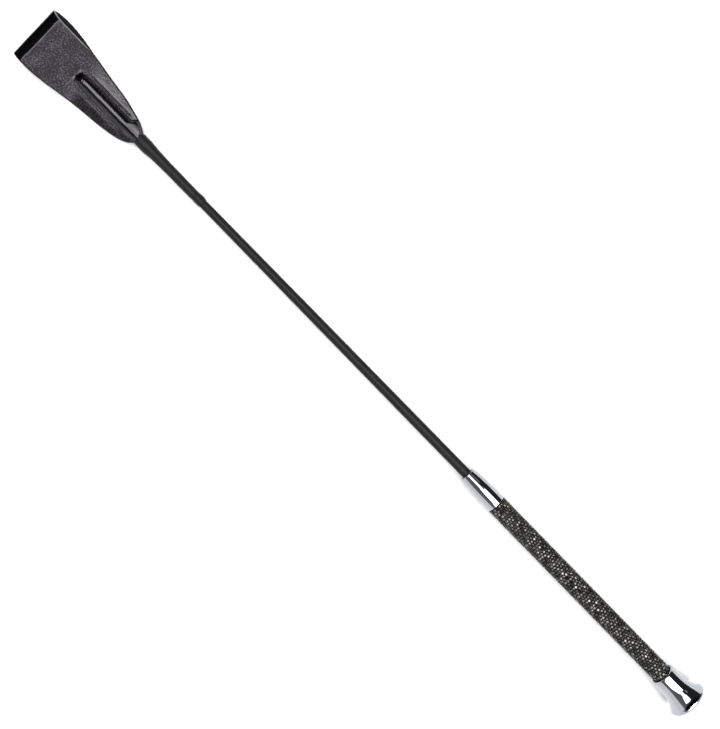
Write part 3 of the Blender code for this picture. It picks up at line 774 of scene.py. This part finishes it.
f0 = 430.0
ogive = [(s, 5.78 + 1.34 * (1 - ((450.0 - s) / 19.3) ** 2)) for s in np.linspace(431.2, 450.0, 60)]
ferrule = arc(f0 + 0.6, 5.26, 0.6, -90, 0, 9) + ogive + [(454.0, 7.12)] + arc(458.6, 6.92, 0.2, 0, 90, 5)
ferrule += [(458.8, 5.5), (444.0, 5.5), (444.0, 4.95), (432.0, 4.95), (431.3, 4.6)] + arc(f0 + 0.45, 4.75, 0.45, -160, -90, 5)
shell = turned("ferrule_shell", ferrule, 160, [CHROME_MAT], sharp=50.0)
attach(shell, "crop")
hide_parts("ferrule")

m = 623.0
flare = [(s, 9.0 + 4.75 * ((s - 629.0) / 17.3) ** 3) for s in np.linspace(629.2, 646.7, 72)]
end_s, end_r = flare[-1]
slope = math.degrees(math.atan(3 * 4.75 / 17.3 * ((end_s - 629.0) / 17.3) ** 2))
q = (HEAD_R - end_r) / (1 - math.cos(math.radians(slope)))
crest_s = end_s + q * math.sin(math.radians(slope))
cap = [(641.0, 0.0), (641.0, 6.6), (625.8, 6.6), (625.2, 7.7), (m + 0.3, 7.7)]
cap += arc(m + 1.2, 7.8, 1.2, -90, 0, 16) + [(626.0, 9.0)] + flare
cap += arc(crest_s, HEAD_R - q, q, -slope, 0, 26)[1:]
rest = HEAD_END - 0.1 - crest_s
cap += arc(crest_s, HEAD_R - rest, rest, 0, 78, 16)[1:]
last_s, last_r = cap[-1]
cap += [(HEAD_END - (HEAD_END - last_s) * (r / last_r) ** 2, r) for r in np.linspace(last_r, 0, 22)[1:-1]]
cap += [(HEAD_END, 0.0)]
head = turned_solid("end_cap_shell", cap, 192, [CHROME_MAT], sharp=50.0)
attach(head, "crop")
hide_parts("end_cap")


# ---------------------------------------------------------------- the grip
def build_stones():
    """Rings of small brilliant-cut stones, each ring turned half a stone from the last."""
    pitch, per_ring = 2.15, 17
    s0, s1 = 460.35, 623.3
    rings = int((s1 - s0) / pitch) + 1
    pitch = (s1 - s0) / (rings - 1)
    table = [(0.60 * math.cos(a), 0.60 * math.sin(a), 0.50) for a in np.radians(np.arange(8) * 45)]
    star = [(0.86 * math.cos(a), 0.86 * math.sin(a), 0.36) for a in np.radians(np.arange(8) * 45 + 22.5)]
    girdle = [(1.03 * math.cos(a), 1.03 * math.sin(a), 0.20) for a in np.radians(np.arange(16) * 22.5)]
    base = [(0.90 * math.cos(a), 0.90 * math.sin(a), -0.42) for a in np.radians(np.arange(16) * 22.5)]
    local = np.array(table + star + girdle + base)
    T, M, G, B = 0, 8, 16, 32
    quads, tris = [], []
    for k in range(8):
        tris.append((T + k, M + k, T + (k + 1) % 8))
        quads.append((T + k, M + (k - 1) % 8, G + 2 * k, M + k))
        tris.append((M + k, G + 2 * k, G + 2 * k + 1))
        tris.append((M + k, G + 2 * k + 1, G + (2 * k + 2) % 16))
    for k in range(3):
        quads.append((T + 2 * k, T + 2 * k + 1, T + (2 * k + 2) % 8, T) if k else (T, T + 1, T + 2, T + 3))
    quads = [f for f in quads if len(set(f)) == 4]
    quads = [f for f in quads if not (max(f) < 8)]
    quads += [(T, T + 1, T + 2, T + 3), (T, T + 3, T + 4, T + 7), (T + 4, T + 5, T + 6, T + 7)]
    for k in range(16):
        quads.append((G + k, B + k, B + (k + 1) % 16, G + (k + 1) % 16))
    for a, b in ((0, 1), (1, 2), (2, 3), (3, 4), (4, 5), (5, 6), (6, 7)):
        quads.append((B + a, B + 15 - a, B + 15 - b, B + b))
    quads, tris = np.array(quads), np.array(tris)
    verts, all_q, all_t, tone = [], [], [], []
    count = 0
    for i in range(rings):
        s = s0 + i * pitch
        shrink = 1.0 - 0.30 * max(0.0, 1 - (s1 - s) / 2.6) * (s > 600)
        for j in range(per_ring):
            a = 2 * math.pi * (j + 0.5 * (i % 2)) / per_ring + 0.10 + RNG.normal(0, 0.006)
            tilt = RNG.normal(0, math.radians(5.0), 2)
            spin = RNG.uniform(0, 2 * math.pi)
            size = 1.0 + RNG.normal(0, 0.012)
            c, d = math.cos(spin), math.sin(spin)
            x = (local[:, 0] * c - local[:, 1] * d) * size
            y = (local[:, 0] * d + local[:, 1] * c) * size
            z = local[:, 2] + x * tilt[0] + y * tilt[1]
            r0 = 6.68 - (1 - shrink) * 1.6
            rad = r0 + z
            sv = s + x + RNG.normal(0, 0.03)
            # lay the stone on the round sleeve
            ss = sv
            yy = rad * math.sin(a) + y * math.cos(a)
            zz = rad * math.cos(a) - y * math.sin(a)
            verts.append(place(ss, yy, zz))
            all_q.append(quads + count)
            all_t.append(tris + count)
            tone.append(np.full(len(local), np.clip(RNG.beta(0.8, 2.2), 0, 1)))
            count += len(local)
    # bend the flat stone's sense so that its faces look outwards
    verts = np.concatenate(verts)
    o = make("grip_stones", verts, np.concatenate(all_q)[:, ::-1], [STONE_MAT], tris=np.concatenate(all_t)[:, ::-1],
             flat=True)
    att = o.data.attributes.new("tone", "FLOAT", "POINT")
    att.data.foreach_set("value", np.concatenate(tone).astype(np.float32))
    return o


stones = build_stones()
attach(stones, "crop")
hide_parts("grip_stone_sleeve")

gs = np.arange(459.1, 624.41, 0.4)


def bed_outer(s):
    return 6.34 - 0.35 * smooth(s, 622.3, 624.4) - 0.15 * (1 - smooth(s, 459.1, 459.7))


def bed_radius(s, r, ang):
    out = r.copy()
    k = len(gs)
    out[:k] = (r + 0.05 * ripple(s, ang * 6.5, 1.1, 3, 1))[:k]
    return out


bed = turned("stone_bed", tube_profile(gs, bed_outer, lambda s: 0 * s + 5.98), 96, [BACK_MAT], radius=bed_radius, sharp=40)
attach(bed, "crop")

# ---------------------------------------------------------------- CAD nodes that keep their own shape
FINISH = {
    "rod_core": moulded("glass_fibre_rod", (0.42, 0.40, 0.33), (0.62, 0.60, 0.52), 0.42, 1.5, stretch=(0.02, 1, 1)),
    "rod_tip_cap": moulded("black_rubber", (0.012, 0.012, 0.012), (0.03, 0.03, 0.03), 0.7, 3.0),
    "ferrule_bush": moulded("black_plastic", (0.02, 0.02, 0.021), (0.04, 0.04, 0.042), 0.45, 3.0),
    "handle_tube": moulded("steel_tube", (0.42, 0.42, 0.43), (0.56, 0.56, 0.57), 0.34, 2.0, 1.0, stretch=(0.03, 1, 1)),
    "grip_backing": BACK_MAT,
}
for node in ("front_spacer", "rear_spacer", "cap_bush"):
    FINISH[node] = FINISH["ferrule_bush"]
for node, mat in FINISH.items():
    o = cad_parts[node]
    if not o.data.materials:
        o.data.materials.append(mat)
    for slot in o.material_slots:
        slot.material = mat


# ---------------------------------------------------------------- stage: floor, light and camera
def build_floor():
    n = Nodes("pale_floor")
    v = n.coords("Object", (1, 1, 1))
    tone = n.noise(v, 3.0, 2, 0.5)
    n.put(Base_Color=n.mix(tone, (0.51, 0.51, 0.51), (0.53, 0.53, 0.53)), Roughness=0.9, Specular_IOR_Level=0.1)
    co = np.array([(-6, -6, -2e-5), (6, -6, -2e-5), (6, 6, -2e-5), (-6, 6, -2e-5)], float)
    o = make("floor", co, [(0, 1, 2, 3)], [n.m])
    return o


def build_world():
    """A plain studio: one long overhead soft light, a lower one on the near side, dark walls between them."""
    w = bpy.data.worlds.new("studio")
    bpy.context.scene.world = w
    w.use_nodes = True
    t = w.node_tree
    t.nodes.clear()

    def node(kind, **kw):
        n = t.nodes.new(kind)
        for k, v in kw.items():
            setattr(n, k, v)
        return n

    def calc(op, a, b=None, clamp=False):
        n = node("ShaderNodeMath", operation=op, use_clamp=clamp)
        for k, v in enumerate((a, b)):
            if v is None:
                continue
            if isinstance(v, (int, float)):
                n.inputs[k].default_value = v
            else:
                t.links.new(v, n.inputs[k])
        return n.outputs[0]

    coord = node("ShaderNodeTexCoord")
    split = node("ShaderNodeSeparateXYZ")
    t.links.new(coord.outputs["Generated"], split.inputs[0])
    x, y, z = split.outputs
    side = calc("MULTIPLY", calc("ARCTAN2", y, z), 180 / math.pi)
    lean = calc("MULTIPLY", calc("ARCTAN2", x, z), 180 / math.pi)

    def ramp(value, stops):
        scaled = calc("ADD", calc("DIVIDE", value, 360.0), 0.5)
        n = node("ShaderNodeValToRGB")
        e = n.color_ramp.elements
        while len(e) < len(stops):
            e.new(0.5)
        for k, (deg, v) in enumerate(stops):
            e[k].position = deg / 360 + 0.5
            e[k].color = (v, v, v, 1)
        t.links.new(scaled, n.inputs["Fac"])
        return n.outputs["Color"]

    # the light's near edge runs askew; a boom arm and camera hang in front of it over the middle
    askew = calc("MULTIPLY", calc("MAXIMUM", calc("SUBTRACT", lean, 9.0), 0.0), 0.9)
    askew = calc("ADD", askew, calc("MULTIPLY", calc("MAXIMUM", calc("SUBTRACT", -18.0, lean), 0.0), 0.5))
    lower = ramp(calc("ADD", side, askew), [(-14, 0), (-9, 1), (120, 1), (121, 0)])
    arm = ramp(lean, [(3.3, 0), (4.8, 1), (150, 1), (151, 0)])
    wide = ramp(side, [(-120, 0), (-119, 1), (27, 1), (33, 0)])
    short = ramp(side, [(-120, 0), (-119, 1), (17, 1), (21, 0)])
    top = calc("MULTIPLY", lower, calc("ADD", calc("MULTIPLY", arm, wide),
                                       calc("MULTIPLY", calc("SUBTRACT", 1.0, arm), short)))
    boom = calc("MULTIPLY", ramp(lean, [(-14, 0), (-13, 1), (3.3, 1), (4.8, 0)]),
                calc("SUBTRACT", 1.0, ramp(side, [(-5, 0), (-1, 1), (12, 1), (16, 0)])))
    top = calc("MULTIPLY", top, calc("SUBTRACT", 1.0, boom))
    camera = calc("MULTIPLY", ramp(lean, [(2.7, 0), (3.7, 1), (5.4, 1), (6.4, 0)]),
                  calc("SUBTRACT", 1.0, ramp(side, [(-10, 0), (-8, 1), (7, 1), (9, 0)])))
    top = calc("MULTIPLY", top, calc("SUBTRACT", 1.0, camera))
    slit = calc("MULTIPLY", ramp(side, [(36, 0), (38, 1), (43, 1), (46, 0)]),
                ramp(lean, [(-14, 0), (-13, 1), (0, 1), (1, 0)]))
    ends = ramp(lean, [(-40, 0), (-36, 1), (38, 1), (44, 0)])
    walls = ramp(side, [(-100, 1.0), (-90, 1.25), (-58, 1.3), (-52, 0.22), (-18, 0.19), (38, 0.03), (90, 0.04), (97, 0.8)])
    walls = calc("ADD", walls, calc("MULTIPLY", slit, 0.6))
    left = node("ShaderNodeMapRange", interpolation_type="SMOOTHSTEP")
    left.inputs["From Min"].default_value, left.inputs["From Max"].default_value = -0.74, -0.62
    left.inputs["To Min"].default_value, left.inputs["To Max"].default_value = 0.03, 1.0
    t.links.new(x, left.inputs["Value"])
    walls = calc("MULTIPLY", walls, left.outputs["Result"])
    far = node("ShaderNodeMapRange", interpolation_type="SMOOTHSTEP")
    far.inputs["From Min"].default_value, far.inputs["From Max"].default_value = 0.50, 0.60
    t.links.new(x, far.inputs["Value"])
    walls = calc("MAXIMUM", walls, calc("MULTIPLY", far.outputs["Result"], 1.2))
    over = calc("MULTIPLY", calc("MULTIPLY", top, ends), TOP_LIGHT)
    light = calc("ADD", over, walls)
    back = node("ShaderNodeBackground")
    t.links.new(light, back.inputs["Strength"])
    back.inputs["Color"].default_value = (1.0, 1.0, 1.0, 1)
    plain = node("ShaderNodeBackground")
    plain.inputs["Color"].default_value = (1.0, 1.0, 1.0, 1)
    plain.inputs["Strength"].default_value = 1.0
    path = node("ShaderNodeLightPath")
    mix = node("ShaderNodeMixShader")
    t.links.new(path.outputs["Is Camera Ray"], mix.inputs[0])
    t.links.new(back.outputs[0], mix.inputs[1])
    t.links.new(plain.outputs[0], mix.inputs[2])
    out = node("ShaderNodeOutputWorld")
    t.links.new(mix.outputs[0], out.inputs["Surface"])


TOP_LIGHT = 10.4
build_floor()
build_world()

CAMERA_S, CAMERA_Y, DISTANCE, PIXEL = 323.9, 0.06, 670.0, 0.6922
cam_data = bpy.data.cameras.new("camera")
cam = bpy.data.objects.new("camera", cam_data)
bpy.context.scene.collection.objects.link(cam)
cam_data.sensor_width = 36.0
cam_data.lens = 36.0 * DISTANCE / (729 * PIXEL)
cam_data.clip_start, cam_data.clip_end = 0.05, 50.0
c, s_ = 0.69834, 0.71577
right = c * ALONG + s_ * np.array([0, 1.0, 0])
up = -s_ * ALONG + c * np.array([0, 1.0, 0])
where = place(CAMERA_S, CAMERA_Y, DISTANCE)
mat = Matrix(((right[0], up[0], UP[0], where[0]), (right[1], up[1], UP[1], where[1]),
              (right[2], up[2], UP[2], where[2]), (0, 0, 0, 1)))
cam.matrix_world = mat
bpy.context.scene.camera = cam
bpy.context.scene.view_settings.view_transform = "Standard"
